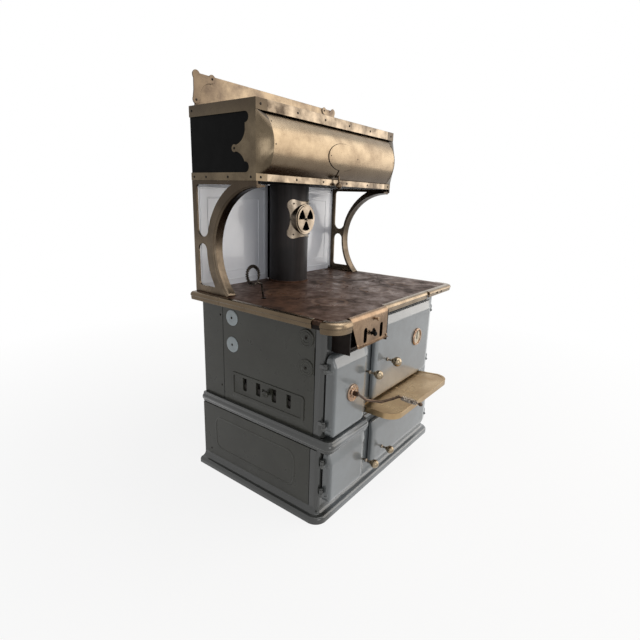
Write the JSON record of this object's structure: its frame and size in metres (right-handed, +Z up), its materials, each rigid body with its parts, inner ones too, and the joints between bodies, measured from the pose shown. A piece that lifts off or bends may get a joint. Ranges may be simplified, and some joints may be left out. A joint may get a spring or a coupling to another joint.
{
  "type": "wood cookstove",
  "caption": "Freestanding wood-burning kitchen range with hinged doors, lift-out lids, a roll-front warming closet on curved brackets, a flue pipe and a plinth base.",
  "frame": {"origin": "on the floor, under the centre of the bounding box", "axes": "+X to the viewer's right facing the front, +Y from the front to the back, +Z up"},
  "size_m": [1.02, 0.888, 1.6335],
  "materials": {
    "blue_enamel": "blue-grey vitreous enamel, gloss",
    "nickel": "polished nickel plate with light tarnish",
    "black_iron": "matt black stove enamel on cast iron",
    "pipe_steel": "blued stovepipe steel, satin",
    "white_enamel": "white vitreous enamel, gloss",
    "cooktop_iron": "seasoned cast iron, oiled satin",
    "cast_iron": "raw cast iron, matt",
    "steel_sheet": "bright steel, satin",
    "oven_enamel": "dark oven enamel, satin",
    "copper": "polished copper, slightly aged",
    "coil_steel": "blackened steel wire, satin",
    "needle_black": "black lacquer, satin"
  },
  "bodies": {
    "range": {"base_plinth": "blue_enamel", "lower_side_left": "blue_enamel", "lower_side_right": "blue_enamel", "upper_side_left": "blue_enamel", "upper_side_right": "blue_enamel", "back_plate": "blue_enamel", "belt_moulding": "blue_enamel", "lower_front": "blue_enamel", "upper_front": "blue_enamel", "main_top": "cooktop_iron", "top_centres": "cooktop_iron", "top_trim": "nickel", "firebox_lining": "cast_iron", "grate_frame": "cast_iron", "ash_pan": "steel_sheet", "oven_box": "oven_enamel", "oven_rack": "steel_sheet", "flue_pipe": "pipe_steel", "pipe_plate": "nickel", "bracket_left": "nickel", "bracket_right": "nickel", "splash_panels": "white_enamel", "closet_shell": "black_iron", "closet_end_left": "nickel", "closet_end_right": "nickel", "closet_rails": "nickel", "crest_plate": "nickel", "crest_ends": "nickel", "hinge_pins": "blue_enamel", "oven_shelf": "nickel", "cover_plates": "blue_enamel", "screws": "nickel"},
    "grate_left": {"grate_bar_left": "cast_iron"},
    "grate_right": {"grate_bar_right": "cast_iron"},
    "fire_door": {"fire_door": "blue_enamel", "rosette": "copper"},
    "fire_knob": {"fire_knob": "nickel"},
    "crank": {"crank": "steel_sheet", "crank_grip": "coil_steel"},
    "ash_door": {"ash_door": "blue_enamel"},
    "ash_knob": {"ash_knob": "nickel"},
    "oven_door": {"oven_door": "blue_enamel", "oven_gauge": "copper"},
    "oven_knob": {"oven_knob": "nickel"},
    "gauge_needle": {"gauge_needle": "needle_black"},
    "lower_door": {"lower_door": "blue_enamel"},
    "lower_knob": {"lower_knob": "nickel"},
    "closet_door": {"closet_door": "nickel", "closet_handle": "nickel"},
    "draft_spinner": {"draft_spinner": "nickel"},
    "side_slide": {"side_slide": "black_iron"},
    "top_flap": {"top_flap": "nickel"},
    "flap_slide": {"flap_slide": "black_iron"},
    "lid_fire_front": {"lid_fire_front": "cooktop_iron"},
    "lid_fire_rear": {"lid_fire_rear": "cooktop_iron"},
    "lid_middle_front": {"lid_middle_front": "cooktop_iron"},
    "lid_middle_rear": {"lid_middle_rear": "cooktop_iron"},
    "lid_right_front": {"lid_right_front": "cooktop_iron"},
    "lid_right_rear": {"lid_right_rear": "cooktop_iron"},
    "lid_lifter": {"lid_lifter": "steel_sheet"}
  },
  "joints": [
    {"name": "fire_door_hinge", "type": "hinge", "parent": "range", "child": "fire_door", "pos_m": [-0.446, -0.219, 0.5], "axis": [0, 0, -1], "range_deg": [0, 110]},
    {"name": "fire_knob_turn", "type": "hinge", "parent": "fire_door", "child": "fire_knob", "pos_m": [-0.208, -0.25, 0.545], "axis": [0, 1, 0], "range_deg": [0, 90]},
    {"name": "crank_turn", "type": "hinge", "parent": "fire_door", "child": "crank", "pos_m": [-0.322, -0.263, 0.498], "axis": [0, -1, 0], "range_deg": [0, 30]},
    {"name": "ash_door_hinge", "type": "hinge", "parent": "range", "child": "ash_door", "pos_m": [-0.446, -0.219, 0.18], "axis": [0, 0, -1], "range_deg": [0, 110]},
    {"name": "ash_knob_turn", "type": "hinge", "parent": "ash_door", "child": "ash_knob", "pos_m": [-0.186, -0.25, 0.148], "axis": [0, 1, 0], "range_deg": [0, 90]},
    {"name": "oven_door_hinge", "type": "hinge", "parent": "range", "child": "oven_door", "pos_m": [0.397, -0.218, 0.56], "axis": [0, 0, 1], "range_deg": [0, 110]},
    {"name": "oven_knob_turn", "type": "hinge", "parent": "oven_door", "child": "oven_knob", "pos_m": [-0.035, -0.235, 0.546], "axis": [0, -1, 0], "range_deg": [0, 90]},
    {"name": "gauge_needle_turn", "type": "hinge", "parent": "oven_door", "child": "gauge_needle", "pos_m": [0.233, -0.24, 0.583], "axis": [0, 1, 0], "range_deg": [-60, 60]},
    {"name": "lower_door_hinge", "type": "hinge", "parent": "range", "child": "lower_door", "pos_m": [0.442, -0.218, 0.18], "axis": [0, 0, 1], "range_deg": [0, 110]},
    {"name": "lower_knob_turn", "type": "hinge", "parent": "lower_door", "child": "lower_knob", "pos_m": [-0.031, -0.237, 0.136], "axis": [0, -1, 0], "range_deg": [0, 90]},
    {"name": "closet_door_roll", "type": "hinge", "parent": "range", "child": "closet_door", "pos_m": [0, 0.182, 1.36], "axis": [-1, 0, 0], "range_deg": [0, 62]},
    {"name": "draft_spin", "type": "hinge", "parent": "range", "child": "draft_spinner", "pos_m": [0, 0.25, 1.09], "axis": [0, -1, 0], "range_deg": [0, 60]},
    {"name": "side_slide_move", "type": "slide", "parent": "range", "child": "side_slide", "axis": [0, 1, 0], "range_m": [0, 0.024]},
    {"name": "top_flap_hinge", "type": "hinge", "parent": "range", "child": "top_flap", "pos_m": [-0.273, -0.28, 0.69], "axis": [1, 0, 0], "range_deg": [0, 60]},
    {"name": "flap_slide_move", "type": "slide", "parent": "top_flap", "child": "flap_slide", "axis": [1, 0, 0], "range_m": [0, 0.022]},
    {"name": "grate_left_tilt", "type": "hinge", "parent": "range", "child": "grate_left", "pos_m": [-0.335, 0.05, 0.422], "axis": [0, 1, 0], "range_deg": [-20, 20]},
    {"name": "grate_right_tilt", "type": "hinge", "parent": "range", "child": "grate_right", "pos_m": [-0.249, 0.05, 0.422], "axis": [0, 1, 0], "range_deg": [-20, 20]},
    {"name": "lid_fire_front_lift", "type": "slide", "parent": "range", "child": "lid_fire_front", "axis": [0, 0, 1], "range_m": [0, 0.06]},
    {"name": "lid_fire_rear_lift", "type": "slide", "parent": "range", "child": "lid_fire_rear", "axis": [0, 0, 1], "range_m": [0, 0.06]},
    {"name": "lid_middle_front_lift", "type": "slide", "parent": "range", "child": "lid_middle_front", "axis": [0, 0, 1], "range_m": [0, 0.06]},
    {"name": "lid_middle_rear_lift", "type": "slide", "parent": "range", "child": "lid_middle_rear", "axis": [0, 0, 1], "range_m": [0, 0.06]},
    {"name": "lid_right_front_lift", "type": "slide", "parent": "range", "child": "lid_right_front", "axis": [0, 0, 1], "range_m": [0, 0.06]},
    {"name": "lid_right_rear_lift", "type": "slide", "parent": "range", "child": "lid_right_rear", "axis": [0, 0, 1], "range_m": [0, 0.06]},
    {"name": "lid_lifter_lift", "type": "slide", "parent": "range", "child": "lid_lifter", "axis": [0, 0, 1], "range_m": [0, 0.06]}
  ],
  "couplings": [
    {"joint": "grate_right_tilt", "follows": "grate_left_tilt", "ratio": -1}
  ]
}
